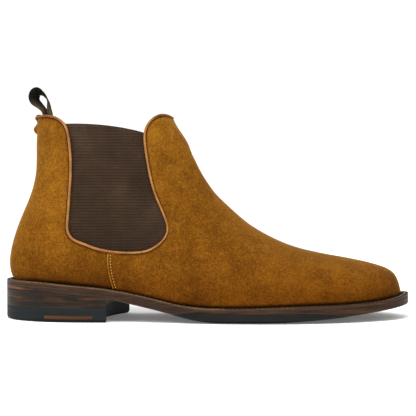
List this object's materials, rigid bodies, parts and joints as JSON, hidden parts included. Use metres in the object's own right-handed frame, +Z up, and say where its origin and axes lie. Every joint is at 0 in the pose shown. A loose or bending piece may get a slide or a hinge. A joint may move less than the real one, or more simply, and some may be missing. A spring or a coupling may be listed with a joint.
{
  "type": "chelsea boot",
  "caption": "Chelsea boot for the right foot in tan suede, with elastic side gussets, light piping, a webbing pull tab, a welted leather sole and a low stacked heel.",
  "frame": {"origin": "on the ground, below the middle of the boot's box", "axes": "+X towards the toe, +Y towards the inner (medial) side, +Z up"},
  "size_m": [0.3024, 0.1044, 0.1718],
  "materials": {
    "suede": "matte suede",
    "suede_edge": "matte suede",
    "piping": "satin",
    "elastic": "matte ribbed",
    "lining": "satin",
    "stiffener": "matte",
    "interlining": "matte",
    "welt": "satin",
    "thread": "matte",
    "outsole": "satin",
    "tread": "matte",
    "heel": "polished edge",
    "top_lift": "matte",
    "inlay": "satin",
    "insole": "matte",
    "sock": "satin",
    "cork": "granular",
    "steel": "plain",
    "brass": "plain",
    "webbing": "matte ribbed"
  },
  "bodies": {
    "boot": {"vamp": "suede", "quarter_lateral": "suede", "quarter_medial": "suede", "back_stay": "suede_edge", "vamp_piping": "piping", "quarter_piping": "piping", "elastic_gusset_lateral": "elastic", "elastic_gusset_medial": "elastic", "vamp_lining": "lining", "quarter_lining_lateral": "lining", "quarter_lining_medial": "lining", "toe_puff": "stiffener", "heel_counter": "stiffener", "vamp_interlining": "interlining", "welt": "welt", "welt_stitching": "thread", "outsole": "outsole", "forepart_tread": "tread", "cork_filler": "cork", "shank": "steel", "insole": "insole", "sock_liner": "sock", "heel_lift_1": "heel", "heel_lift_2": "heel", "heel_lift_3": "heel", "heel_top_lift": "top_lift", "top_lift_inlay": "inlay", "heel_nails": "steel", "top_lift_nails": "brass", "pull_tab_anchor": "webbing"},
    "pull_tab": {"pull_tab_loop": "webbing"}
  },
  "joints": [
    {"name": "pull_tab_bend", "type": "hinge", "parent": "boot", "child": "pull_tab", "pos_m": [-0.1216, 0, 0.153], "axis": [0, 1, 0], "range_deg": [-35, 95], "stiffness_Nm_per_rad": 0.005}
  ]
}
